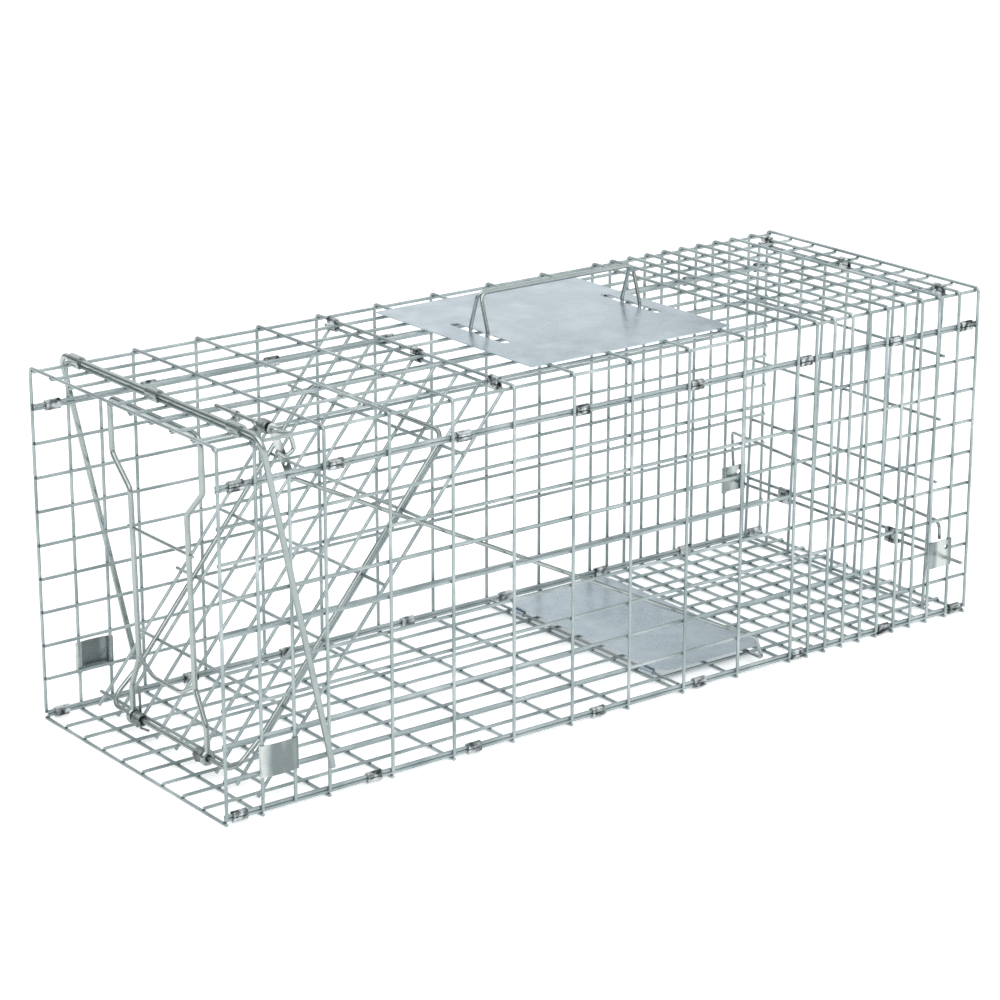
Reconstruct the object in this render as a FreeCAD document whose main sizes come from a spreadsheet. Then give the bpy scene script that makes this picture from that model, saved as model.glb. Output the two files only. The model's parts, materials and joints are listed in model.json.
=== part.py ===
"""Single-door live catch trap: a wire mesh cage with a sloping drop door and a treadle.

Millimetres. The origin is the centre of the floor panel, at the level it stands on.
+X runs from the entrance to the rear, +Y to the left of someone looking in through
the entrance, and +Z is up.
"""
import FreeCAD, Part
import math
import os

Vector = FreeCAD.Vector
Rotation = FreeCAD.Rotation
Placement = FreeCAD.Placement

doc = FreeCAD.newDocument("catch_trap")
sizes = doc.addObject("Spreadsheet::Sheet", "Sizes")

DRIVING_SIZES = {
    # cage mesh
    "wire_dia": 2.8,
    "mesh_pitch": 30,
    "cells_across": 9,
    "cells_up": 9,
    "side_pitch": 28.85,
    "first_gap": 33,
    "second_gap": 62,
    "long_pitch": 60,
    "long_gaps": 8,
    "short_pitch": 20.5,
    "short_gaps": 8,
    "tail_gap": 24,
    "last_gap": 23,
    "stiffener_place": 63,
    "flange_drop": 31,
    "bend_size": 4,
    "stack_gap": 0.3,
    # crimped clips
    "clip_length": 13,
    "clip_bore": 3.5,
    "clip_wall": 1.2,
    "clip_seam": 0.8,
    "hinge_clip_length": 11,
    # front door
    "door_width": 240,
    "door_length": 371,
    "door_cross_pitch": 60,
    "door_lean": 50.2,
    "hinge_drop": 6.1,
    "door_rod_dia": 4,
    "door_rod_half_width": 93,
    "door_rod_top": 50,
    "door_rod_bend": 14,
    "lock_pivot_place": 35,
    "lock_pivot_height": 21,
    # lock frame standing on the door's bottom bar
    "lock_rod_dia": 4.6,
    "lock_height": 267,
    "lock_lean": 1,
    "lock_top_half_width": 67,
    "lock_leg_half_width": 42,
    "lock_foot_half_width": 56,
    "running_clearance": 0.05,
    # torsion springs
    "spring_wire": 2,
    "spring_radius": 4.2,
    "spring_turns": 5,
    "spring_pitch": 2.1,
    # outer bail
    "bail_dia": 5,
    "bail_reach": 282,
    "bail_half_width": 147,
    "bail_bend": 12,
    "bail_lean": 12,
    "sleeve_length": 16,
    "sleeve_wall": 1.8,
    # sheet metal
    "sheet": 0.8,
    "catch_length": 34,
    "catch_tall": 26,
    "catch_low": 33,
    "guard_front": 315,
    "guard_length": 210,
    "guard_width": 216,
    "slot_length": 70,
    "slot_width": 8,
    # treadle
    "treadle_place": 455,
    "treadle_length": 115,
    "treadle_width": 222,
    "treadle_level": 11.2,
    "treadle_corner": 16,
    "treadle_pin_dia": 2.6,
    # trigger rod and latch
    "trigger_dia": 3.5,
    "trigger_side": 129,
    "trigger_rear": 551,
    "trigger_foot": 7.8,
    "axle_place": 57,
    "axle_height": 303,
    "lever_side": 125.5,
    "hook_side": 129.5,
    "lever_sheet": 1.2,
    "lever_foot_place": 73,
    "lever_foot_height": 262,
    # carrying handle
    "handle_dia": 3.2,
    "handle_front": 344,
    "handle_rear": 506,
    "handle_rise": 36,
    # rear door and its lock
    "rear_hinge_place": 763,
    "rear_door_height": 288,
    "rear_door_lean": 1.7,
    "rear_cross_half": 124,
    "rear_rod_dia": 3,
    "rear_rod_place": 758.2,
    "rear_rod_low": 59,
    "rear_rod_high": 90,
    "rear_rod_peak": 106,
    "rear_rod_tip": 160,
    "rear_plate_length": 27,
    "rear_plate_tall": 24.5,
    "rear_plate_low": 51.5,
    "rear_spare_hole": 69,
}


def fill_sheet():
    for row, (alias, value) in enumerate(DRIVING_SIZES.items(), start=1):
        sizes.set("A%d" % row, alias)
        sizes.set("B%d" % row, str(value))
        sizes.setAlias("B%d" % row, alias)
    doc.recompute()


def size(alias):
    return float(sizes.get(alias))


fill_sheet()

# Places along the cage, as expressions of the driving sizes.
REAR_GAPS = "Sizes.long_gaps * Sizes.long_pitch + Sizes.short_gaps * Sizes.short_pitch"
CAGE_LENGTH = "(Sizes.first_gap + Sizes.second_gap + %s + Sizes.tail_gap + Sizes.last_gap)" % REAR_GAPS
FRONT = "(-%s / 2)" % CAGE_LENGTH
HALF_WIDTH = "(Sizes.cells_across * Sizes.mesh_pitch / 2)"
FLOOR_CROSS = "(Sizes.wire_dia / 2)"
FLOOR_LONG = "(Sizes.wire_dia * 3 / 2)"
SIDE_FOOT = "(%s + Sizes.wire_dia + Sizes.stack_gap)" % FLOOR_LONG
SIDE_HEAD = "(%s + Sizes.cells_up * Sizes.side_pitch)" % SIDE_FOOT
FLANGE_LONG = "(%s + Sizes.wire_dia + Sizes.stack_gap)" % SIDE_HEAD
TOP_CROSS = "(%s + Sizes.flange_drop)" % FLANGE_LONG
TOP_LONG = "(%s - Sizes.wire_dia)" % TOP_CROSS

wire_r = size("wire_dia") / 2
half_width = size("cells_across") * size("mesh_pitch") / 2
cage_length = (size("first_gap") + size("second_gap") + size("long_gaps") * size("long_pitch")
               + size("short_gaps") * size("short_pitch") + size("tail_gap") + size("last_gap"))
front = -cage_length / 2
floor_long = 3 * wire_r
side_foot = floor_long + 2 * wire_r + size("stack_gap")
side_head = side_foot + size("cells_up") * size("side_pitch")
flange_long = side_head + 2 * wire_r + size("stack_gap")
top_cross = flange_long + size("flange_drop")
top_long = top_cross - 2 * wire_r
cross_y = half_width + 2 * wire_r


def cross_places():
    """Distance of each crosswire from the entrance, as expressions."""
    first = "Sizes.first_gap"
    second = "Sizes.first_gap + Sizes.second_gap"
    places = ["0", first]
    for step in range(int(size("long_gaps")) + 1):
        places.append("%s + %d * Sizes.long_pitch" % (second, step))
    dense = "%s + Sizes.long_gaps * Sizes.long_pitch" % second
    for step in range(1, int(size("short_gaps")) + 1):
        places.append("%s + %d * Sizes.short_pitch" % (dense, step))
    tail = "%s + Sizes.short_gaps * Sizes.short_pitch + Sizes.tail_gap" % dense
    places.append(tail)
    places.append("%s + Sizes.last_gap" % tail)
    return places


def place_value(expression):
    """A crosswire's place as a number, read back through the sheet's sizes."""
    names = {alias: size(alias) for alias in DRIVING_SIZES}
    total = 0.0
    for term in expression.split("+"):
        product = 1.0
        for factor in term.split("*"):
            factor = factor.strip().replace("Sizes.", "")
            product *= names[factor] if factor in names else float(factor)
        total += product
    return total


AXES = {
    "x": Rotation(Vector(0, 1, 0), 90),
    "y": Rotation(Vector(1, 0, 0), -90),
    "z": Rotation(),
}


def rod(name, along, length, start, dia="Sizes.wire_dia"):
    """A straight wire along one axis, from a start point given as three expressions."""
    wire = doc.addObject("Part::Cylinder", name)
    wire.Placement = Placement(Vector(), AXES[along])
    wire.setExpression("Radius", "(%s) / 2" % dia)
    wire.setExpression("Height", length)
    for axis, expression in zip("xyz", start):
        wire.setExpression("Placement.Base.%s" % axis, expression)
    return wire


def box(name, length, width, height, corner):
    """A block whose sizes and lowest corner are expressions."""
    block = doc.addObject("Part::Box", name)
    block.setExpression("Length", length)
    block.setExpression("Width", width)
    block.setExpression("Height", height)
    for axis, expression in zip("xyz", corner):
        block.setExpression("Placement.Base.%s" % axis, expression)
    return block


def fuse(name, pieces):
    joined = doc.addObject("Part::MultiFuse", name)
    joined.Shapes = pieces
    return joined


def cut(name, base, tool):
    result = doc.addObject("Part::Cut", name)
    result.Base = base
    result.Tool = tool
    return result


def group(name, pieces):
    """Separate solids that are one sub-part."""
    compound = doc.addObject("Part::Compound", name)
    compound.Links = pieces
    return compound


def shape_piece(name, shape):
    piece = doc.addObject("Part::Feature", name)
    piece.Shape = shape
    return piece


def bent_path(points, radii):
    """Straight runs through the points, joined by tangent arcs at each inner point."""
    points = [Vector(*point) for point in points]
    if not isinstance(radii, (list, tuple)):
        radii = [radii] * (len(points) - 2)
    edges = []
    start = points[0]
    for corner, after, radius in zip(points[1:-1], points[2:], radii):
        arriving = (corner - start).normalize()
        leaving = (after - corner).normalize()
        turn = arriving.getAngle(leaving)
        reach = radius * math.tan(turn / 2)
        arc_start = corner - arriving * reach
        arc_end = corner + leaving * reach
        inward = (leaving - arriving).normalize()
        middle = corner + inward * (radius / math.cos(turn / 2) - radius)
        edges.append(Part.LineSegment(start, arc_start).toShape())
        edges.append(Part.Arc(arc_start, middle, arc_end).toShape())
        start = arc_end
    edges.append(Part.LineSegment(start, points[-1]).toShape())
    return edges


def bent_wire(name, points, radii, dia_alias):
    """A round wire bent along a path: a circle swept along runs and arcs."""
    path = shape_piece(name + "_path", Part.Wire(bent_path(points, radii)))
    direction = Vector(*points[1]) - Vector(*points[0])
    ring = doc.addObject("Part::Circle", name + "_ring")
    ring.Placement = Placement(Vector(*points[0]), Rotation(Vector(0, 0, 1), direction))
    ring.setExpression("Radius", "Sizes.%s / 2" % dia_alias)
    wire = doc.addObject("Part::Sweep", name)
    wire.Sections = [ring]
    wire.Spine = (path, ["Edge%d" % (i + 1) for i in range(len(path.Shape.Edges))])
    wire.Solid = True
    wire.Frenet = False
    wire.Transition = "Right corner"
    return wire


def copies(name, master, moves):
    """The same formed piece repeated at several places, as separate solids."""
    doc.recompute()
    solids = []
    for move in moves:
        shape = master.Shape.copy()
        shape.Placement = move.multiply(shape.Placement)
        solids.extend(shape.Solids)
    return shape_piece(name, Part.makeCompound(solids))


def shift(x, y, z):
    return Placement(Vector(x, y, z), Rotation())


# ---------------------------------------------------------------- cage panels
CROSS_PLACES = cross_places()
MESH_LINES = range(int(size("cells_across")) + 1)


def floor_panel():
    wires = []
    for line in MESH_LINES:
        wires.append(rod("floor_long_%d" % line, "x", CAGE_LENGTH,
                         (FRONT, "%d * Sizes.mesh_pitch - %s" % (line, HALF_WIDTH), FLOOR_LONG)))
    for number, place in enumerate(CROSS_PLACES):
        wires.append(rod("floor_cross_%d" % number, "y", "2 * %s + 2 * Sizes.wire_dia" % HALF_WIDTH,
                         ("%s + %s" % (FRONT, place), "-%s - Sizes.wire_dia" % HALF_WIDTH, FLOOR_CROSS)))
    return group("floor_panel", wires)


def side_panel(name, side):
    """Nine cells tall; the uprights are on the outer face, and one extra upright stiffens the front."""
    wires = []
    for line in range(int(size("cells_up")) + 1):
        wires.append(rod("%s_long_%d" % (name, line), "x", CAGE_LENGTH,
                         (FRONT, "%d * %s" % (side, HALF_WIDTH),
                          "%s + %d * Sizes.side_pitch" % (SIDE_FOOT, line))))
    for number, place in enumerate(CROSS_PLACES + ["Sizes.stiffener_place"]):
        wires.append(rod("%s_upright_%d" % (name, number), "z",
                         "Sizes.cells_up * Sizes.side_pitch + Sizes.wire_dia",
                         ("%s + %s" % (FRONT, place),
                          "%d * (%s + Sizes.wire_dia)" % (side, HALF_WIDTH),
                          "%s - Sizes.wire_dia / 2" % SIDE_FOOT)))
    return group(name, wires)


def top_panel():
    """The crosswires bend down at both sides and carry one more long wire as a flange."""
    wires = []
    for line in MESH_LINES[1:-1]:
        wires.append(rod("top_long_%d" % line, "x", CAGE_LENGTH,
                         (FRONT, "%d * Sizes.mesh_pitch - %s" % (line, HALF_WIDTH), TOP_LONG)))
    for side in (-1, 1):
        wires.append(rod("top_edge_long_%d" % (side + 1), "x", CAGE_LENGTH,
                         (FRONT, "%d * (%s + Sizes.wire_dia - Sizes.bend_size)" % (side, HALF_WIDTH),
                          TOP_LONG)))
        wires.append(rod("flange_long_%d" % (side + 1), "x", CAGE_LENGTH,
                         (FRONT, "%d * %s" % (side, HALF_WIDTH), FLANGE_LONG)))
    foot = flange_long - wire_r
    hoop = bent_wire("top_hoop", [(0, -cross_y, foot), (0, -cross_y, top_cross),
                                  (0, cross_y, top_cross), (0, cross_y, foot)],
                     size("bend_size"), "wire_dia")
    hoops = copies("top_hoops", hoop, [shift(front + place_value(place), 0, 0) for place in CROSS_PLACES])
    return group("top_panel", wires + [hoops])


def clip_master(name, length_alias, spacing):
    """A strip crimped round two parallel wires that run along X, the upper one at the origin."""
    bore = size("clip_bore")
    outer = bore + 2 * size("clip_wall")
    length = size(length_alias)
    solids = []
    for width in (outer, bore):
        ends = [Part.makeCylinder(width / 2, length, Vector(-length / 2, 0, -drop), Vector(1, 0, 0))
                for drop in (0, spacing)]
        middle = Part.makeBox(length, width, spacing, Vector(-length / 2, -width / 2, -spacing))
        solids.append(ends[0].fuse([ends[1], middle]).removeSplitter())
    seam = Part.makeBox(length + 2, outer, size("clip_seam"),
                        Vector(-length / 2 - 1, 0, -spacing / 2 - size("clip_seam") / 2))
    return shape_piece(name, solids[0].cut([solids[1], seam]))


def edge_clips():
    """Clips that tie the side panels to the floor and to the top panel's flanges."""
    spacing = 2 * wire_r + size("stack_gap")
    master = clip_master("edge_clip", "clip_length", spacing)
    top_places = [17, 107, 227, 345, 465, 585.2, 687.8, 775]
    floor_places = [13, 138, 236, 364, 474, 585.2, 687.8, 775]
    outward = {-1: Rotation(Vector(0, 0, 1), 180), 1: Rotation()}
    nodes = []
    for side, word in ((-1, "right"), (1, "left")):
        for level, places, label in ((flange_long, top_places, "top"), (side_foot, floor_places, "floor")):
            moves = [Placement(Vector(front + place, side * half_width, level), outward[side])
                     for place in places]
            nodes.append(copies("%s_clips_%s" % (label, word), master, moves))
    return nodes


def hinge_clips(name, place, across):
    """Three clips that hang a door's top wire from a crosswire of the top panel."""
    master = clip_master(name + "_one", "hinge_clip_length", size("hinge_drop"))
    turned = Rotation(Vector(0, 0, 1), 90)
    moves = [Placement(Vector(front + place, y, top_cross), turned) for y in across]
    return copies(name, master, moves)


# ---------------------------------------------------------------- front door
hinge_x = front + place_value(CROSS_PLACES[5])
hinge_z = top_cross - size("hinge_drop")
door_lean = math.radians(size("door_lean"))
door_turn = Rotation(Vector(0, 1, 0), -size("door_lean")).multiply(Rotation(Vector(0, 0, 1), 180))
door_place = Placement(Vector(hinge_x, 0, hinge_z), door_turn)
pivot = Vector(front + size("lock_pivot_place"), 0, size("lock_pivot_height"))


def door_point(world):
    """A world point in the door's own frame: down the slope, across, and out of its front face."""
    return door_place.inverse().multVec(world)


def door_mesh():
    """Crosswires on the front face, long wires behind; X runs down the slope from the hinge wire."""
    wires = []
    overhang = 4
    last = int(size("door_length") // size("door_cross_pitch"))
    for number in range(last + 1):
        wires.append(rod("door_cross_%d" % number, "y", "Sizes.door_width + %d" % (2 * overhang),
                         ("%d * Sizes.door_cross_pitch" % number,
                          "-Sizes.door_width / 2 - %d" % overhang, "0")))
    for line in range(int(size("door_width") // size("mesh_pitch")) + 1):
        wires.append(rod("door_long_%d" % line, "x", "Sizes.door_length",
                         ("0", "%d * Sizes.mesh_pitch - Sizes.door_width / 2" % line,
                          "-Sizes.wire_dia")))
    mesh = group("front_door_mesh", wires)
    mesh.Placement = door_place
    return mesh


def door_frame():
    """The thick rod loop on the door's front face; its bottom bar stands a little forward."""
    half = size("door_rod_half_width")
    face = wire_r + size("door_rod_dia") / 2
    top = size("door_rod_top")
    foot = door_point(pivot)
    kink = foot.x - 36
    points = [(top, 0, face), (top, -half, face), (kink, -half, face), (foot.x, -half, foot.z),
              (foot.x, half, foot.z), (kink, half, face), (top, half, face), (top, 0.2, face)]
    bend = size("door_rod_bend")
    loop = bent_wire("front_door_frame", points, [bend, bend, bend, bend, bend, bend], "door_rod_dia")
    loop.Placement = door_place
    return loop


# ---------------------------------------------------------------- lock frame
def lock_point(across, up):
    """A point of the lock frame, which leans a little towards the entrance."""
    lean = math.radians(size("lock_lean"))
    return (pivot.x - up * math.sin(lean), across, pivot.z + up * math.cos(lean))


def lock_frame():
    """A tall wire frame that stands on the door's bottom bar and reaches the top panel."""
    top = size("lock_height")
    top_half = size("lock_top_half_width")
    leg_half = size("lock_leg_half_width")
    foot_half = size("lock_foot_half_width")
    jog_high = top - 46
    jog_low = top - 70
    knee = 54
    ankle = 26
    half_outline = [(foot_half, 4.3), (foot_half, ankle), (leg_half, knee), (leg_half, jog_low),
                    (top_half, jog_high), (top_half, top)]
    points = [lock_point(-y, z) for y, z in half_outline]
    points += [lock_point(y, z) for y, z in reversed(half_outline)]
    bend = 9
    hoop = bent_wire("lock_hoop", points, [bend, bend, bend, bend, bend, bend, bend, bend, bend, bend],
                     "lock_rod_dia")
    brace_up = 165
    brace_over = leg_half + 6
    brace = bent_wire("lock_brace", [lock_point(-brace_over, brace_up), lock_point(brace_over, brace_up)],
                      [], "wire_dia")
    bow = 12
    stay_up = knee + 2
    stay = bent_wire("lock_stay", [lock_point(-leg_half, stay_up), lock_point(-leg_half / 2, stay_up - bow),
                                   lock_point(leg_half / 2, stay_up - bow), lock_point(leg_half, stay_up)],
                     20, "trigger_dia")
    rings = []
    bores = []
    for side in (-1, 1):
        across = "%d * Sizes.lock_foot_half_width" % side
        ring = doc.addObject("Part::Torus", "lock_eye_%d" % (side + 1))
        ring.Placement = Placement(Vector(*lock_point(0, 0)), AXES["y"])
        ring.setExpression("Radius1", "(Sizes.door_rod_dia + Sizes.lock_rod_dia) / 2")
        ring.setExpression("Radius2", "Sizes.lock_rod_dia / 2")
        ring.setExpression("Placement.Base.y", across)
        rings.append(ring)
        bores.append(rod("lock_bore_%d" % (side + 1), "y", "Sizes.lock_rod_dia * 4",
                         (str(pivot.x), "%s - Sizes.lock_rod_dia * 2" % across, str(pivot.z)),
                         "Sizes.door_rod_dia + 2 * Sizes.running_clearance"))
    solid = fuse("lock_solid", [hoop, brace, stay] + rings)
    return cut("lock_frame", solid, fuse("lock_bores", bores))


def coil(name, centre, turns=None):
    """A close-wound torsion spring whose axis runs along Y, centred on a point."""
    turns = turns or size("spring_turns")
    radius = size("spring_radius")
    pitch = size("spring_pitch")
    length = turns * pitch
    helix = doc.addObject("Part::Helix", name + "_path")
    helix.Radius = radius
    helix.Pitch = pitch
    helix.Height = length
    ring = doc.addObject("Part::Circle", name + "_ring")
    ring.setExpression("Radius", "Sizes.spring_wire / 2")
    ring.Placement = Placement(Vector(radius, 0, 0), Rotation(Vector(1, 0, 0), 90))
    doc.recompute()
    wire = doc.addObject("Part::Sweep", name)
    wire.Sections = [ring]
    wire.Spine = (helix, ["Edge%d" % (i + 1) for i in range(len(helix.Shape.Edges))])
    wire.Solid = True
    wire.Frenet = True
    wire.Placement = Placement(Vector(centre[0], centre[1] - length / 2, centre[2]),
                               Rotation(Vector(1, 0, 0), -90))
    return wire


def lock_springs():
    inset = size("lock_foot_half_width") - size("lock_rod_dia") / 2 - 7
    return group("lock_springs", [coil("lock_spring_%d" % (side + 1), (pivot.x, side * inset, pivot.z))
                                  for side in (-1, 1)])


# ---------------------------------------------------------------- outer bail
bail_x = front + size("first_gap")
bail_z = top_cross + wire_r + size("bail_dia") / 2 + 0.4


def bail():
    """A rod over the top panel whose two arms hang down outside the side panels."""
    lean = math.radians(size("bail_lean"))
    reach = size("bail_reach")
    half = size("bail_half_width")
    end_x = bail_x + reach * math.sin(lean)
    end_z = bail_z - reach * math.cos(lean)
    return bent_wire("bail", [(end_x, -half, end_z), (bail_x, -half, bail_z),
                              (bail_x, half, bail_z), (end_x, half, end_z)],
                     size("bail_bend"), "bail_dia")


def bail_sleeves():
    """Strips rolled round the bail and the crosswire under it."""
    solids = []
    length = size("sleeve_length")
    wall = size("sleeve_wall")
    rod_bore = size("bail_dia") / 2 + size("running_clearance")
    wire_bore = wire_r + size("running_clearance")
    for across in (-114, 2, 121):
        start = across - length / 2
        along = Vector(0, 1, 0)
        upper = Part.makeCylinder(rod_bore + wall, length, Vector(bail_x, start, bail_z), along)
        lower = Part.makeCylinder(wire_bore + wall, length, Vector(bail_x, start, top_cross), along)
        neck = Part.makeBox(2 * (wire_bore + wall), length, bail_z - top_cross,
                            Vector(bail_x - wire_bore - wall, start, top_cross))
        holes = [Part.makeCylinder(rod_bore, length, Vector(bail_x, start, bail_z), along),
                 Part.makeCylinder(wire_bore, length, Vector(bail_x, start, top_cross), along)]
        holes.append(Part.makeBox(20, length, 10, Vector(bail_x - 10, start, top_cross - wire_r + 0.05 - 10)))
        solids.append(upper.fuse([lower, neck]).cut(holes).removeSplitter())
    return shape_piece("bail_sleeves", Part.makeCompound(solids))


def side_catch(name, side):
    """A bowed plate wrapped round two uprights, low on a side panel near the entrance."""
    length = size("catch_length")
    low = size("catch_low")
    tall = size("catch_tall")
    sheet = size("sheet")
    inner = cross_y + wire_r + 0.05
    start = front + size("first_gap") - 2
    bow = 1.6
    outline = []
    for offset in (0, sheet):
        first = Vector(start, inner + offset, low)
        middle = Vector(start + length / 2, inner + bow + offset, low)
        last = Vector(start + length, inner + offset, low)
        outline.append(Part.Arc(first, middle, last).toShape())
    ends = [Part.LineSegment(outline[0].Vertexes[i].Point, outline[1].Vertexes[i].Point).toShape()
            for i in (0, 1)]
    wire = Part.Wire([outline[0], ends[1], outline[1].reversed(), ends[0].reversed()])
    plate = Part.Face(wire).extrude(Vector(0, 0, tall))
    curls = []
    for place in (size("first_gap"), size("stiffener_place")):
        centre = Vector(front + place, cross_y, low)
        bore = wire_r + 0.05
        tube = Part.makeCylinder(bore + sheet, tall, centre)
        curls.append(tube.cut(Part.makeCylinder(bore, tall, centre)))
    keep_out = Part.makeBox(length + 20, half_width + wire_r + 0.1, tall + 2,
                            Vector(start - 10, 0, low - 1))
    bores = [Part.makeCylinder(wire_r + 0.05, tall, Vector(front + place, cross_y, low))
             for place in (size("first_gap"), size("stiffener_place"))]
    solid = plate.fuse(curls).cut([keep_out] + bores).removeSplitter()
    if side < 0:
        solid = solid.mirror(Vector(), Vector(0, 1, 0))
    return shape_piece(name, Part.makeCompound(solid.Solids))


# ---------------------------------------------------------------- guard plate and handle
def guard_plate():
    """A sheet over the top panel that keeps a hand on the handle away from the animal."""
    level = "%s + Sizes.wire_dia / 2 + 0.05" % TOP_CROSS
    plate = box("guard_sheet", "Sizes.guard_length", "Sizes.guard_width", "Sizes.sheet",
                ("%s + Sizes.guard_front" % FRONT, "-Sizes.guard_width / 2", level))
    tools = []
    for number, place in enumerate(("Sizes.handle_front", "Sizes.handle_rear")):
        tools.append(box("guard_slot_%d" % number, "Sizes.slot_width", "Sizes.slot_length", "Sizes.sheet * 4",
                         ("%s + %s - Sizes.slot_width / 2" % (FRONT, place), "-Sizes.slot_length / 2",
                          "%s - Sizes.sheet" % level)))
        for side in (-1, 1):
            tools.append(rod("guard_slot_end_%d_%d" % (number, side + 1), "z", "Sizes.sheet * 4",
                             ("%s + %s" % (FRONT, place), "%d * Sizes.slot_length / 2" % side,
                              "%s - Sizes.sheet" % level), "Sizes.slot_width"))
    return cut("guard_plate", plate, fuse("guard_slots", tools))


def handle():
    """A doubled wire: each end splays into two legs that hook under two long wires."""
    radius = size("handle_dia") / 2
    top = top_cross + size("handle_rise")
    hook = top_long - wire_r - radius - 0.2
    foot = size("mesh_pitch") / 2 - wire_r - radius - 0.3
    ends = (front + size("handle_front"), front + size("handle_rear"))
    bars = []
    for side in (-1, 1):
        crest = side * (radius + 0.02)
        points = [(ends[0], side * (foot + 5.5), hook), (ends[0], side * foot, hook),
                  (ends[0], side * foot, top_long + 8), (ends[0], crest, top),
                  (ends[1], crest, top), (ends[1], side * foot, top_long + 8),
                  (ends[1], side * foot, hook), (ends[1], side * (foot + 5.5), hook)]
        bars.append(bent_wire("handle_bar_%d" % (side + 1), points, [1.8, 4, 7, 7, 4, 1.8], "handle_dia"))
    return group("carry_handle", bars)


# ---------------------------------------------------------------- treadle
treadle_x = front + size("treadle_place")
treadle_pin_z = floor_long + wire_r + size("treadle_pin_dia") / 2


def treadle_pin():
    return rod("treadle_pin", "y", "2 * %s - 8" % HALF_WIDTH,
               ("%s + Sizes.treadle_place" % FRONT, "-%s + 4" % HALF_WIDTH,
                "%s + Sizes.wire_dia / 2 + Sizes.treadle_pin_dia / 2" % FLOOR_LONG), "Sizes.treadle_pin_dia")


def treadle():
    """A rounded plate hinged at its front edge by two rolled sleeves on the pin."""
    length = size("treadle_length")
    width = size("treadle_width")
    sheet = size("sheet")
    level = size("treadle_level")
    corner = size("treadle_corner")
    plate = Part.makeBox(length, width, sheet, Vector(treadle_x, -width / 2, level))
    uprights = [edge for edge in plate.Edges if abs(edge.Length - sheet) < 1e-6]
    plate = plate.makeFillet(corner, uprights)
    pieces = []
    bore = size("treadle_pin_dia") / 2 + size("running_clearance")
    sleeve_length = 16
    bores = []
    for across in (-90, 90):
        start = Vector(treadle_x, across - sleeve_length / 2, treadle_pin_z)
        pieces.append(Part.makeCylinder(bore + sheet, sleeve_length, start, Vector(0, 1, 0)))
        pieces.append(Part.makeBox(sheet, sleeve_length, level + sheet / 2 - treadle_pin_z,
                                   start + Vector(bore, 0, 0)))
        pieces.append(Part.makeBox(corner, sleeve_length, sheet, Vector(start.x + bore, start.y, level)))
        bores.append(Part.makeCylinder(bore, sleeve_length, start, Vector(0, 1, 0)))
    return shape_piece("treadle_plate", plate.fuse(pieces).cut(bores).removeSplitter())


# ---------------------------------------------------------------- trigger rod and latch
axle_x = front + size("axle_place")
axle_z = size("axle_height")
lever_foot = (front + size("lever_foot_place"), size("lever_foot_height"))


def trigger_rod():
    """A long rod beside the side panel, from the latch lever down to the treadle's edge."""
    side = -size("trigger_side")
    inner_front = -size("lever_side") + 0.9
    rear_x = front + size("trigger_rear")
    foot = size("trigger_foot")
    shoulder = foot + 20
    return bent_wire("trigger_rod", [(lever_foot[0], inner_front, lever_foot[1]),
                                     (lever_foot[0], side, lever_foot[1]), (rear_x - 8, side, shoulder),
                                     (rear_x, side, foot), (rear_x, side + 27, foot)],
                     [2.6, 7, 4], "trigger_dia")


def latch_axle():
    """A short rod lying across the top panel; its end is bent into the hook that holds the door up."""
    hook_side = -size("hook_side")
    return bent_wire("latch_axle", [(axle_x, -48, axle_z), (axle_x, hook_side, axle_z),
                                    (axle_x + 13, hook_side, axle_z - 5),
                                    (axle_x + 17, hook_side, axle_z - 18),
                                    (axle_x + 8, hook_side, axle_z - 23),
                                    (axle_x + 1, hook_side, axle_z - 17)],
                     [2.2, 5, 4, 3.5], "trigger_dia")


def latch_lever():
    """A flat strap pressed on the axle, with the trigger rod's pivot hole at its lower end."""
    sheet = size("lever_sheet")
    side = -size("lever_side") - sheet / 2
    half = 3.2
    run = Vector(lever_foot[0] - axle_x, 0, lever_foot[1] - axle_z)
    length = run.Length
    strap = Part.makeBox(length, sheet, 2 * half, Vector(0, 0, -half))
    ends = [Part.makeCylinder(radius, sheet, Vector(x, 0, 0), Vector(0, 1, 0))
            for x, radius in ((0, 4.2), (length, half + 0.8))]
    hole_r = size("trigger_dia") / 2
    holes = [Part.makeCylinder(hole_r, sheet, Vector(0, 0, 0), Vector(0, 1, 0)),
             Part.makeCylinder(hole_r + size("running_clearance"), sheet, Vector(length, 0, 0),
                               Vector(0, 1, 0)),
             Part.makeCylinder(1.4, sheet, Vector(length * 0.72, 0, 0), Vector(0, 1, 0))]
    lever = strap.fuse(ends).cut(holes).removeSplitter()
    lever.Placement = Placement(Vector(axle_x, side, axle_z), Rotation(Vector(1, 0, 0), run))
    return shape_piece("latch_lever", lever)


def latch_spring():
    return group("latch_spring", [coil("latch_coil", (axle_x, -116.3, axle_z), 5)])


def latch_saddles():
    """Two clips that hold the axle down on the long wires of the top panel."""
    solids = []
    wall = 0.9
    axle_bore = size("trigger_dia") / 2 + size("running_clearance")
    wire_bore = wire_r + size("running_clearance")
    reach = 6
    for across in (-105, -75):
        over = Vector(axle_x, across - reach / 2, axle_z)
        under = Vector(axle_x - reach / 2, across, top_long)
        upper = Part.makeCylinder(axle_bore + wall, reach, over, Vector(0, 1, 0))
        lower = Part.makeCylinder(wire_bore + wall, reach, under, Vector(1, 0, 0))
        neck = Part.makeBox(4, 4, axle_z - top_long, Vector(axle_x - 2, across - 2, top_long))
        holes = [Part.makeCylinder(axle_bore, reach + 2, over - Vector(0, 1, 0), Vector(0, 1, 0)),
                 Part.makeCylinder(wire_bore, reach + 2, under - Vector(1, 0, 0), Vector(1, 0, 0))]
        solids.append(upper.fuse([lower, neck]).cut(holes).removeSplitter())
    return shape_piece("latch_saddles", Part.makeCompound(solids))


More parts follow.
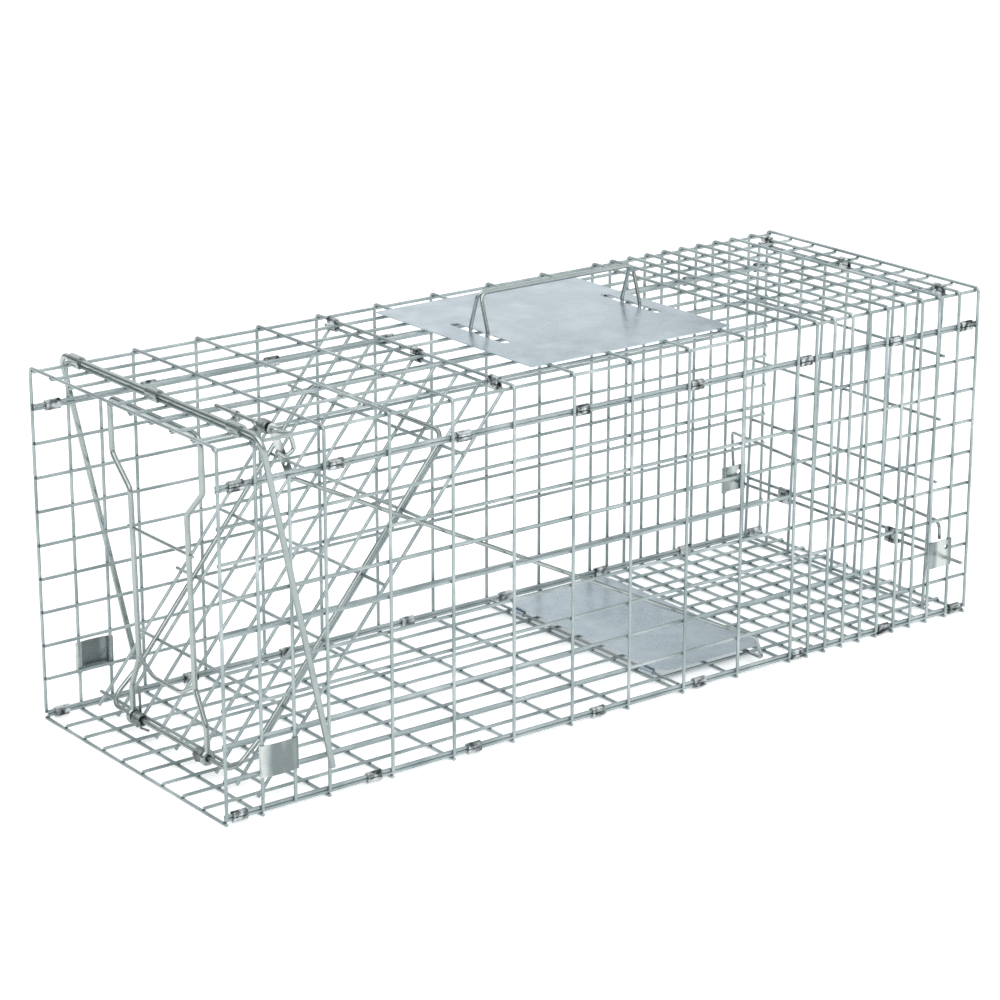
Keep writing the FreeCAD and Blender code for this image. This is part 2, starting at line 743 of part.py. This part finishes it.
# ---------------------------------------------------------------- rear door
rear_hinge_x = front + size("rear_hinge_place")
rear_place = Placement(Vector(rear_hinge_x, 0, hinge_z), Rotation(Vector(0, 1, 0), size("rear_door_lean")))


def rear_door():
    """A mesh panel that hangs from the top and leans on the lock rod behind it."""
    wires = [rod("rear_cross_head", "y", "2 * Sizes.rear_cross_half", ("0", "-Sizes.rear_cross_half", "0"))]
    for number in range(5):
        drop = "-Sizes.rear_door_height + Sizes.wire_dia + %d * 2 * Sizes.side_pitch" % number
        wires.append(rod("rear_cross_%d" % number, "y", "2 * Sizes.rear_cross_half",
                         ("0", "-Sizes.rear_cross_half", drop)))
    for line in range(int(size("door_width") // size("mesh_pitch")) + 1):
        wires.append(rod("rear_upright_%d" % line, "z", "Sizes.rear_door_height",
                         ("-Sizes.wire_dia", "%d * Sizes.mesh_pitch - Sizes.door_width / 2" % line,
                          "-Sizes.rear_door_height")))
    panel = group("rear_door_mesh", wires)
    panel.Placement = rear_place
    return panel


def rear_door_hooks():
    """Two clips on the fourth crosswire whose tongues cup the lock rod from the front."""
    sheet = size("sheet")
    bore = wire_r + 0.05
    drop = size("rear_door_height") - size("wire_dia") - 2 * size("side_pitch")
    length = 14
    solids = []
    for across in (-73, 71):
        start = Vector(0, across - length / 2, -drop)
        along = Vector(0, 1, 0)
        tube = Part.makeCylinder(bore + sheet, length, start, along)
        tongue = Part.makeBox(sheet, length, 11.6, start + Vector(-bore - sheet, 0, -11.6))
        lip = Part.makeBox(6.4, length, sheet, start + Vector(-bore - sheet, 0, -11.6))
        hole = Part.makeCylinder(bore, length, start, along)
        solids.append(tube.fuse([tongue, lip]).cut(hole).removeSplitter())
    hooks = shape_piece("rear_door_hooks", Part.makeCompound(solids))
    hooks.Placement = rear_place
    return hooks


rear_rod_x = front + size("rear_rod_place")


def rear_lock():
    """One bent wire: a pin through both side plates and a grip that crosses back above it."""
    low = size("rear_rod_low")
    high = size("rear_rod_high")
    outside = cross_y + 8
    peak = size("rear_rod_peak")
    return bent_wire("rear_lock_rod", [(rear_rod_x, -size("rear_rod_tip"), low), (rear_rod_x, outside, low),
                                       (rear_rod_x, outside + 4, peak), (rear_rod_x, -130, high),
                                       (rear_rod_x, -131, 74)],
                     [5, 3, 7], "rear_rod_dia")


def rear_plate(name, side):
    """A plate wrapped round two uprights, drilled for the lock rod."""
    sheet = size("sheet")
    tall = size("rear_plate_tall")
    low = size("rear_plate_low")
    start = rear_hinge_x - 25.5
    inner = cross_y + wire_r + 0.05
    plate = Part.makeBox(size("rear_plate_length"), sheet, tall, Vector(start, inner, low))
    pieces = []
    bores = []
    for place in (rear_hinge_x - size("tail_gap"), rear_hinge_x):
        centre = Vector(place, cross_y, low)
        pieces.append(Part.makeCylinder(wire_r + 0.05 + sheet, tall, centre))
        bores.append(Part.makeCylinder(wire_r + 0.05, tall, centre))
    keep_out = Part.makeBox(60, half_width + wire_r + 0.1, tall + 2, Vector(start - 10, 0, low - 1))
    rod_hole = size("rear_rod_dia") / 2 + size("running_clearance")
    for radius, level in ((rod_hole, size("rear_rod_low")), (2.2, size("rear_spare_hole"))):
        centre = Vector(rear_rod_x, half_width - 5, level)
        bores.append(Part.makeCylinder(radius, 30, centre, Vector(0, 1, 0)))
    solid = plate.fuse(pieces).cut([keep_out] + bores).removeSplitter()
    if side < 0:
        solid = solid.mirror(Vector(), Vector(0, 1, 0))
    return shape_piece(name, Part.makeCompound(solid.Solids))


# ---------------------------------------------------------------- build and write
def build():
    nodes = [
        floor_panel(),
        side_panel("side_panel_right", -1),
        side_panel("side_panel_left", 1),
        top_panel(),
    ]
    nodes += edge_clips()
    nodes += [
        hinge_clips("front_hinge_clips", place_value(CROSS_PLACES[5]), (-112.5, -7.5, 112.5)),
        hinge_clips("rear_hinge_clips", size("rear_hinge_place"), (-112.5, 7.5, 112.5)),
        door_mesh(),
        door_frame(),
        lock_frame(),
        lock_springs(),
        bail(),
        bail_sleeves(),
        side_catch("side_catch_right", -1),
        side_catch("side_catch_left", 1),
        guard_plate(),
        handle(),
        treadle_pin(),
        treadle(),
        trigger_rod(),
        latch_axle(),
        latch_lever(),
        latch_spring(),
        latch_saddles(),
        rear_door(),
        rear_door_hooks(),
        rear_lock(),
        rear_plate("rear_plate_right", -1),
        rear_plate("rear_plate_left", 1),
    ]
    doc.recompute()
    return nodes


def check(nodes):
    """Stops with the names of objects that failed or whose shape is bad."""
    bad = [item.Name for item in doc.Objects if "Invalid" in item.State or "Error" in item.State]
    for node in nodes:
        shape = node.Shape
        if shape.isNull() or not shape.isValid() or not shape.Solids:
            bad.append(node.Name)
    if bad:
        raise RuntimeError("bad objects: %s" % ", ".join(bad))


def write(nodes):
    os.makedirs("parts", exist_ok=True)
    for node in nodes:
        node.Label = node.Name
        node.Shape.exportStep("parts/%s.step" % node.Label)
        box_of = node.Shape.BoundBox
        print("%-20s %3d solids  volume %9.1f  x %.1f..%.1f  y %.1f..%.1f  z %.1f..%.1f" % (
            node.Label, len(node.Shape.Solids), node.Shape.Volume, box_of.XMin, box_of.XMax,
            box_of.YMin, box_of.YMax, box_of.ZMin, box_of.ZMax))


all_nodes = build()
check(all_nodes)
write(all_nodes)
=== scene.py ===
import json
import math

import bmesh
import bpy
from mathutils import Matrix, Vector


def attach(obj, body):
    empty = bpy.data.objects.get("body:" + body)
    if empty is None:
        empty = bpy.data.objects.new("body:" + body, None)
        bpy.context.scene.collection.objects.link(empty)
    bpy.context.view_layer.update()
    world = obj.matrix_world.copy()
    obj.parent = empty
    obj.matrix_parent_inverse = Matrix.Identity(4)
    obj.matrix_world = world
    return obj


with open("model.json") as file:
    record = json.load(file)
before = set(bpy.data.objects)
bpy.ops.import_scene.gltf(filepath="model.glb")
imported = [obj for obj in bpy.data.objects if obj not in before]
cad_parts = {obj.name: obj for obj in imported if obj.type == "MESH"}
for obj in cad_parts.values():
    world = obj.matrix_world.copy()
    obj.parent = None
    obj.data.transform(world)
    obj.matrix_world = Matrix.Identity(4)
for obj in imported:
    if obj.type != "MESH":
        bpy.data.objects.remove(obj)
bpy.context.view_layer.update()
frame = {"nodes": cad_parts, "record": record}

MM = 0.001

# ------------------------------------------------------------------ sizes, millimetres
LENGTH = 786.0
HALF = 135.0
WIRE = 1.4
CROSS_PLACES = [0, 33] + [95 + 60 * k for k in range(9)] + [575 + 20.5 * k for k in range(1, 9)] + [763, 786]
FLOOR_LONG = 4.2
SIDE_FOOT = 7.3
SIDE_PITCH = 28.85
FLANGE = SIDE_FOOT + 9 * SIDE_PITCH + 3.1
TOP_CROSS = FLANGE + 31
TOP_EDGE = 133.8
MESH_PITCH = 30.0
DOOR_CROSS_PITCH = 60.0
DOOR_SIDE = 120.0
DOOR_HEAD = 0.6
REAR_DOOR_HEIGHT = 288.0
STIFFENER_PLACE = 63
FLAT_BEAD = (1.7, 1.7, 1.05)
SIDE_BEAD = (1.7, 1.05, 1.7)
END_BEAD = (1.05, 1.7, 1.7)
HINGE = (-118.0, TOP_CROSS - 6.1)
DOOR_LEAN = math.radians(50.2)
REAR_HINGE = 370.0
REAR_LEAN = math.radians(1.7)
PIVOT = (-358.0, 21.0)
SPRING_RADIUS = 4.2
SPRING_INNER = 41.4
SPRING_OUTER = 51.9
SPRING_WIRE_RADIUS = 1.0
CAMERA_PLACE = (-1570.91, -2029.01, 984.16)
CAMERA_AZIMUTH = math.radians(-37.26)
CAMERA_HEIGHT = math.radians(18.04)
CAMERA_LENS = 114.33


# ------------------------------------------------------------------ shader helpers
class Shader:
    """A small builder round one material's node tree."""

    def __init__(self, name):
        self.material = bpy.data.materials.new(name)
        self.material.use_nodes = True
        self.tree = self.material.node_tree
        self.tree.nodes.clear()
        self.out = self.tree.nodes.new("ShaderNodeOutputMaterial")
        self.body = self.tree.nodes.new("ShaderNodeBsdfPrincipled")
        self.link(self.body.outputs["BSDF"], self.out.inputs["Surface"])
        coords = self.tree.nodes.new("ShaderNodeTexCoord")
        self.space = coords.outputs["Object"]

    def link(self, source, target):
        self.tree.links.new(source, target)

    def set(self, name, value):
        self.body.inputs[name].default_value = value

    def noise(self, scale, detail=3.0, rough=0.55, space=None):
        node = self.tree.nodes.new("ShaderNodeTexNoise")
        node.inputs["Scale"].default_value = scale
        node.inputs["Detail"].default_value = detail
        node.inputs["Roughness"].default_value = rough
        self.link(space or self.space, node.inputs["Vector"])
        return node.outputs["Fac"]

    def cells(self, scale):
        node = self.tree.nodes.new("ShaderNodeTexVoronoi")
        node.inputs["Scale"].default_value = scale
        self.link(self.space, node.inputs["Vector"])
        return node

    def stretched(self, x, y, z):
        node = self.tree.nodes.new("ShaderNodeMapping")
        node.inputs["Scale"].default_value = (x, y, z)
        self.link(self.space, node.inputs["Vector"])
        return node.outputs["Vector"]

    def span(self, fac, low, high, from_low=0.3, from_high=0.7):
        node = self.tree.nodes.new("ShaderNodeMapRange")
        node.inputs["From Min"].default_value = from_low
        node.inputs["From Max"].default_value = from_high
        node.inputs["To Min"].default_value = low
        node.inputs["To Max"].default_value = high
        self.link(fac, node.inputs["Value"])
        return node.outputs["Result"]

    def ramp(self, fac, stops):
        node = self.tree.nodes.new("ShaderNodeValToRGB")
        elements = node.color_ramp.elements
        while len(elements) < len(stops):
            elements.new(0.5)
        for element, (place, colour) in zip(elements, stops):
            element.position = place
            element.color = (*colour, 1.0)
        self.link(fac, node.inputs["Fac"])
        return node.outputs["Color"]

    def mix(self, fac, first, second, blend="MIX"):
        node = self.tree.nodes.new("ShaderNodeMix")
        node.data_type = "RGBA"
        node.blend_type = blend
        sockets = (node.inputs["Factor"], node.inputs[6], node.inputs[7])
        for socket, value in zip(sockets, (fac, first, second)):
            if isinstance(value, (int, float)):
                socket.default_value = value
            elif isinstance(value, tuple):
                socket.default_value = (*value, 1.0)
            else:
                self.link(value, socket)
        return node.outputs[2]

    def add(self, first, second, weight):
        node = self.tree.nodes.new("ShaderNodeMath")
        node.operation = "MULTIPLY_ADD"
        self.link(second, node.inputs[0])
        node.inputs[1].default_value = weight
        self.link(first, node.inputs[2])
        return node.outputs["Value"]

    def bump(self, height, strength, distance):
        node = self.tree.nodes.new("ShaderNodeBump")
        node.inputs["Strength"].default_value = strength
        node.inputs["Distance"].default_value = distance
        self.link(height, node.inputs["Height"])
        self.link(node.outputs["Normal"], self.body.inputs["Normal"])


def galvanised_wire():
    """Hot-dipped mesh wire: pale blue-grey, uneven sheen and small runs of zinc."""
    s = Shader("galvanised_wire")
    broad = s.noise(22)
    fine = s.noise(420, 4)
    tint = s.ramp(broad, [(0.32, (0.25, 0.305, 0.31)),
                          (0.52, (0.35, 0.412, 0.418)),
                          (0.70, (0.485, 0.54, 0.545))])
    specks = s.span(fine, 0.0, 0.35, 0.55, 0.75)
    s.link(s.mix(specks, tint, (0.13, 0.155, 0.16)), s.body.inputs["Base Color"])
    s.set("Metallic", 0.82)
    s.link(s.span(s.noise(90), 0.30, 0.50), s.body.inputs["Roughness"])
    s.bump(s.add(fine, broad, 0.6), 0.35, 0.00012)
    return s.material


def bright_rod():
    """Zinc-plated drawn rod: smoother and more reflective, with faint drawing marks."""
    s = Shader("bright_rod")
    broad = s.noise(16)
    lines = s.noise(700, 2)
    tint = s.ramp(broad, [(0.3, (0.26, 0.305, 0.30)), (0.7, (0.38, 0.425, 0.42))])
    drawn = s.span(lines, 0.0, 0.08, 0.55, 0.8)
    s.link(s.mix(drawn, tint, (0.16, 0.185, 0.186)), s.body.inputs["Base Color"])
    s.set("Metallic", 0.95)
    s.link(s.span(s.noise(60), 0.17, 0.32), s.body.inputs["Roughness"])
    s.bump(lines, 0.15, 0.00008)
    return s.material


def galvanised_sheet():
    """Sheet zinc: soft spangle, cloudy patches, a cool tint and hairline rolling marks."""
    s = Shader("galvanised_sheet")
    spangle = s.cells(95)
    clouds = s.noise(38, 4, 0.6)
    base = s.ramp(s.noise(9), [(0.3, (0.345, 0.42, 0.47)), (0.7, (0.455, 0.54, 0.595))])
    cloudy = s.mix(s.span(clouds, 0.0, 0.55, 0.44, 0.66), base, (0.60, 0.68, 0.72))
    crystals = s.span(spangle.outputs["Color"], 0.0, 0.22, 0.0, 1.0)
    s.link(s.mix(crystals, cloudy, (0.36, 0.43, 0.475)), s.body.inputs["Base Color"])
    s.set("Metallic", 0.78)
    rolled = s.noise(1.0, 2, 0.5, s.stretched(30, 900, 900))
    s.link(s.span(s.add(clouds, rolled, 0.25), 0.24, 0.36, 0.45, 0.85), s.body.inputs["Roughness"])
    s.bump(s.add(clouds, rolled, 0.12), 0.15, 0.0001)
    return s.material


def catch_sheet():
    """Small pressed plates: duller and greener than the large sheets, with soft upright bands of painted
    highlight and painted shade in the base colour.
    """
    s = Shader("catch_sheet")
    # One upright band field drives both the painted highlight and painted shade in the base colour and the
    # bump.
    painted_highlight_and_bump_bands = s.noise(1.0, 1, 0.4, s.stretched(75, 75, 14))
    marks = s.noise(160, 3)
    # Painted shade at the dark stop and painted highlight at the bright stop: upright bands of light painted
    # into the base colour.
    tint = s.ramp(painted_highlight_and_bump_bands, [(0.38, (0.17, 0.20, 0.20)),
                          (0.50, (0.31, 0.355, 0.355)),
                          (0.62, (0.50, 0.535, 0.52))])
    spots = s.span(marks, 0.0, 0.3, 0.52, 0.72)
    s.link(s.mix(spots, tint, (0.20, 0.23, 0.232)), s.body.inputs["Base Color"])
    s.set("Metallic", 0.88)
    s.link(s.span(marks, 0.20, 0.34), s.body.inputs["Roughness"])
    s.bump(painted_highlight_and_bump_bands, 0.6, 0.0016)
    return s.material


def crimped_strip():
    """Clip strip: random patches from near-black to bright in the base colour, with roughness varying on its
    own.
    """
    s = Shader("crimped_strip")
    patches = s.noise(130, 4)
    tint = s.ramp(patches, [(0.38, (0.03, 0.035, 0.037)),
                            (0.47, (0.19, 0.212, 0.216)),
                            (0.58, (0.50, 0.535, 0.54))])
    s.link(tint, s.body.inputs["Base Color"])
    s.set("Metallic", 0.9)
    s.link(s.span(s.noise(220), 0.2, 0.42), s.body.inputs["Roughness"])
    s.bump(patches, 0.4, 0.00025)
    return s.material


def spring_steel():
    """Zinc-plated spring wire: a little darker than the rods."""
    s = Shader("spring_steel")
    s.link(s.ramp(s.noise(180), [(0.35, (0.13, 0.145, 0.15)), (0.65, (0.26, 0.285, 0.29))]),
           s.body.inputs["Base Color"])
    s.set("Metallic", 0.9)
    s.link(s.span(s.noise(240), 0.24, 0.4), s.body.inputs["Roughness"])
    return s.material


def weld_mark():
    """The squeezed and heat-dulled zinc at a welded crossing."""
    s = Shader("weld_mark")
    s.link(s.ramp(s.noise(300, 3), [(0.35, (0.055, 0.066, 0.07)), (0.65, (0.15, 0.172, 0.176))]),
           s.body.inputs["Base Color"])
    s.set("Metallic", 0.7)
    s.set("Roughness", 0.5)
    return s.material


def paper_floor():
    """The plain white studio floor."""
    s = Shader("paper_floor")
    s.link(s.ramp(s.noise(3), [(0.3, (0.90, 0.905, 0.91)), (0.7, (0.93, 0.932, 0.935))]),
           s.body.inputs["Base Color"])
    s.set("Roughness", 0.9)
    s.set("Specular IOR Level", 0.1)
    s.set("Emission Color", (1.0, 1.0, 1.0, 1.0))
    s.set("Emission Strength", 0.33)
    return s.material


MATERIALS = {
    "wire": galvanised_wire(),
    "rod": bright_rod(),
    "plate": galvanised_sheet(),
    "catch": catch_sheet(),
    "clip": crimped_strip(),
    "spring": spring_steel(),
}
WELD = weld_mark()
OTHER_FINISH = {"side_catch_right": "catch", "side_catch_left": "catch", "rear_plate_right": "catch",
                "rear_plate_left": "catch", "latch_lever": "catch", "bail_sleeves": "rod"}


def dress_frame():
    """Gives every carried-over CAD node the finish of its own slot, or the finish OTHER_FINISH lists for it.
    """
    slots = {piece["node"]: piece["material_slot"] for piece in frame["record"]["subparts"]}
    for name, node in frame["nodes"].items():
        material = MATERIALS[OTHER_FINISH.get(name, slots[name])]
        if node.data.materials:
            for index in range(len(node.data.materials)):
                node.data.materials[index] = material
        else:
            node.data.materials.append(material)


# ------------------------------------------------------------------ mesh helpers
def new_object(name, mesh_builder, material, body):
    data = bpy.data.meshes.new(name)
    mesh_builder.to_mesh(data)
    mesh_builder.free()
    for face in data.polygons:
        face.use_smooth = True
    data.materials.append(material)
    piece = bpy.data.objects.new(name, data)
    bpy.context.scene.collection.objects.link(piece)
    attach(piece, body)
    return piece


def add_bead(builder, centre, radii, turn=None):
    place = Matrix.Translation(Vector(centre) * MM)
    if turn is not None:
        place = place @ turn.to_4x4()
    scale = Matrix.Diagonal((radii[0] * MM, radii[1] * MM, radii[2] * MM, 1.0))
    bmesh.ops.create_icosphere(builder, subdivisions=1, radius=1.0, matrix=place @ scale)


def add_wire(builder, points, radius, sides=12):
    """A round wire through the points, given in millimetres."""
    points = [Vector(p) * MM for p in points]
    rings = []
    previous = None
    for index, point in enumerate(points):
        before = points[max(index - 1, 0)]
        after = points[min(index + 1, len(points) - 1)]
        along = (after - before).normalized()
        if previous is None:
            helper = Vector((0, 0, 1)) if abs(along.z) < 0.9 else Vector((1, 0, 0))
            across = along.cross(helper).normalized()
        else:
            across = (previous - along * previous.dot(along)).normalized()
        previous = across
        other = along.cross(across)
        ring = []
        for step in range(sides):
            angle = 2 * math.pi * step / sides
            offset = (across * math.cos(angle) + other * math.sin(angle)) * radius * MM
            ring.append(builder.verts.new(point + offset))
        rings.append(ring)
    for first, second in zip(rings, rings[1:]):
        for step in range(sides):
            after = (step + 1) % sides
            builder.faces.new((first[step], first[after], second[after], second[step]))
    builder.faces.new(list(reversed(rings[0])))
    builder.faces.new(rings[-1])


# ------------------------------------------------------------------ weld beads
def cage_welds():
    """A small squeezed bead at every crossing of the four cage panels."""
    builder = bmesh.new()
    front = -LENGTH / 2
    for place in CROSS_PLACES:
        x = front + place
        for line in range(10):
            y = line * MESH_PITCH - HALF
            add_bead(builder, (x, y, FLOOR_LONG - WIRE), FLAT_BEAD)
            top_y = max(-TOP_EDGE, min(TOP_EDGE, y))
            add_bead(builder, (x, top_y, TOP_CROSS - WIRE), FLAT_BEAD)
        for side in (-1, 1):
            add_bead(builder, (x, side * (HALF + WIRE), FLANGE), SIDE_BEAD)
    for place in CROSS_PLACES + [STIFFENER_PLACE]:
        for line in range(10):
            for side in (-1, 1):
                z = SIDE_FOOT + line * SIDE_PITCH
                add_bead(builder, (front + place, side * (HALF + WIRE), z), SIDE_BEAD)
    new_object("cage_welds", builder, WELD, "cage")


def front_door_welds():
    builder = bmesh.new()
    turn = Matrix.Rotation(-DOOR_LEAN, 3, "Y")
    down = Vector((-math.cos(DOOR_LEAN), 0, -math.sin(DOOR_LEAN)))
    inward = Vector((math.sin(DOOR_LEAN), 0, -math.cos(DOOR_LEAN)))
    hinge = Vector((HINGE[0], 0, HINGE[1]))
    for cross in range(7):
        for line in range(9):
            centre = hinge + down * (DOOR_CROSS_PITCH * cross if cross else DOOR_HEAD) + inward * WIRE
            centre.y = line * MESH_PITCH - DOOR_SIDE
            add_bead(builder, centre, FLAT_BEAD, turn)
    new_object("front_door_welds", builder, WELD, "front_door")


def rear_door_welds():
    builder = bmesh.new()
    drops = [DOOR_HEAD] + [REAR_DOOR_HEIGHT - 2 * WIRE - 2 * SIDE_PITCH * k for k in range(5)]
    for drop in drops:
        for line in range(9):
            local = Vector((-WIRE, 0, -drop))
            local.rotate(Matrix.Rotation(REAR_LEAN, 3, "Y"))
            centre = (REAR_HINGE + local.x, line * MESH_PITCH - DOOR_SIDE, HINGE[1] + local.z)
            add_bead(builder, centre, END_BEAD)
    new_object("rear_door_welds", builder, WELD, "rear_door")


# ------------------------------------------------------------------ spring legs
def spring_legs():
    """The two legs of each torsion coil: one bears on the lock frame, one on the door."""
    builder = bmesh.new()
    upper_leg = [(SPRING_RADIUS, 0), (4.0, 12), (3.6, 26)]
    lower_leg = [(-SPRING_RADIUS, 0), (-2.0, -6), (5.0, -10)]
    for side in (-1, 1):
        for across, leg in ((SPRING_OUTER, upper_leg), (SPRING_INNER, lower_leg)):
            points = [(PIVOT[0] + along, side * across, PIVOT[1] + up) for along, up in leg]
            add_wire(builder, points, SPRING_WIRE_RADIUS)
    new_object("lock_spring_legs", builder, MATERIALS["spring"], "lock")


# ------------------------------------------------------------------ studio
def studio():
    scene = bpy.context.scene
    scene.view_settings.view_transform = "Standard"
    world = bpy.data.worlds.new("studio")
    scene.world = world
    world.use_nodes = True
    tree = world.node_tree
    tree.nodes.clear()
    out = tree.nodes.new("ShaderNodeOutputWorld")
    light = tree.nodes.new("ShaderNodeBackground")
    coords = tree.nodes.new("ShaderNodeTexCoord")
    split = tree.nodes.new("ShaderNodeSeparateXYZ")
    ramp = tree.nodes.new("ShaderNodeValToRGB")
    tree.links.new(coords.outputs["Generated"], split.inputs[0])
    tree.links.new(split.outputs["Z"], ramp.inputs["Fac"])
    tree.links.new(ramp.outputs["Color"], light.inputs["Color"])
    tree.links.new(light.outputs[0], out.inputs["Surface"])
    elements = ramp.color_ramp.elements
    elements[0].position = 0.0
    elements[0].color = (0.05, 0.055, 0.058, 1)
    elements[1].position = 0.75
    elements[1].color = (1.0, 1.0, 1.0, 1)
    light.inputs["Strength"].default_value = 1.0

    bpy.ops.mesh.primitive_plane_add(size=40, location=(0, 0, 0))
    floor = bpy.context.object
    floor.name = "floor"
    floor.data.materials.append(paper_floor())

    for name, place, size, power in (
            ("key", (-1.2, -1.6, 2.2), 3.0, 56),
            ("fill", (2.0, -1.4, 1.2), 2.6, 18),
            ("back", (0.6, 2.2, 1.8), 3.0, 18)):
        data = bpy.data.lights.new(name, "AREA")
        data.size = size
        data.energy = power
        lamp = bpy.data.objects.new(name, data)
        lamp.location = place
        lamp.rotation_euler = Vector(place).to_track_quat("Z", "Y").to_euler()
        scene.collection.objects.link(lamp)


def camera():
    level = math.cos(CAMERA_HEIGHT)
    back = Vector((math.sin(CAMERA_AZIMUTH) * level,
                   -math.cos(CAMERA_AZIMUTH) * level,
                   math.sin(CAMERA_HEIGHT)))
    data = bpy.data.cameras.new("camera")
    data.sensor_width = 36.0
    data.lens = CAMERA_LENS
    data.clip_end = 100.0
    view = bpy.data.objects.new("camera", data)
    view.location = Vector(CAMERA_PLACE) * MM
    view.rotation_euler = back.to_track_quat("Z", "Y").to_euler()
    bpy.context.scene.collection.objects.link(view)
    bpy.context.scene.camera = view


dress_frame()
cage_welds()
front_door_welds()
rear_door_welds()
spring_legs()
studio()
camera()
